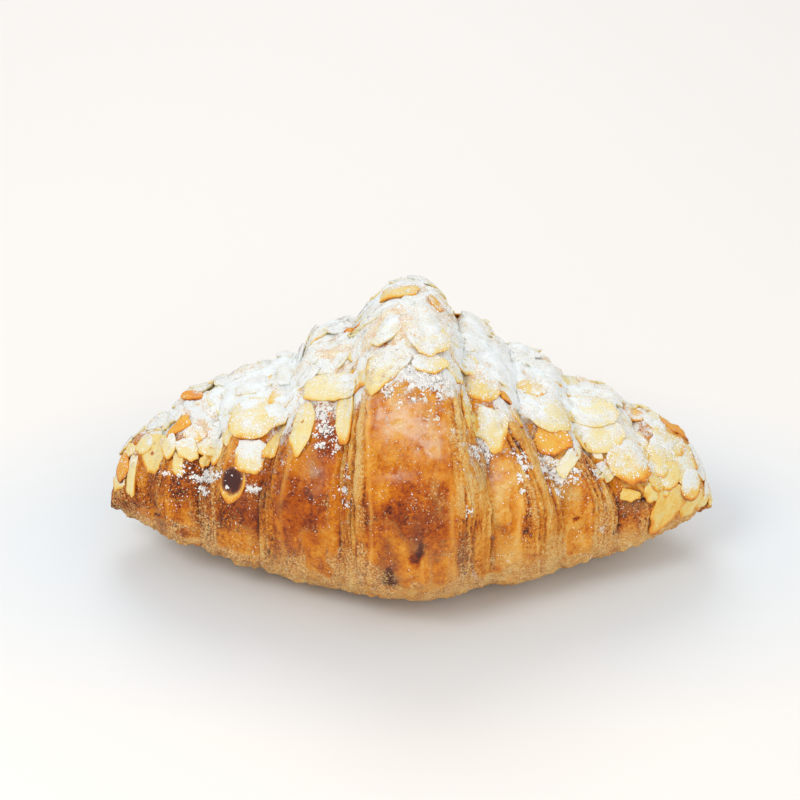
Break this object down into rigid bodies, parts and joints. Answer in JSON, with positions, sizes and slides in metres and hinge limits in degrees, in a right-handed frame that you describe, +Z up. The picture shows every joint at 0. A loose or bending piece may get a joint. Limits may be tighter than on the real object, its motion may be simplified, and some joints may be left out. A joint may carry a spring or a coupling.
{
  "type": "almond croissant",
  "caption": "Straight plump croissant of laminated dough, high in the middle with tapering ends, its top covered with baked-on almond flakes, resting on a flat base.",
  "frame": {"origin": "centre of the flat base that the croissant rests on", "axes": "+X along the roll to its right tip as seen from the front, -Y the front with the glossy middle wrap, +Z up"},
  "size_m": [0.16, 0.094, 0.0767],
  "materials": {
    "baked_crust": "baked laminated dough, glossy golden brown on the treads of the wraps, matt and paler at the layer edges and low down",
    "almond": "flaked almonds, cream with toasted golden edges",
    "icing_sugar": "sifted icing sugar, soft matt white powder"
  },
  "bodies": {
    "root": {"croissant": "baked_crust"}
  },
  "joints": []
}
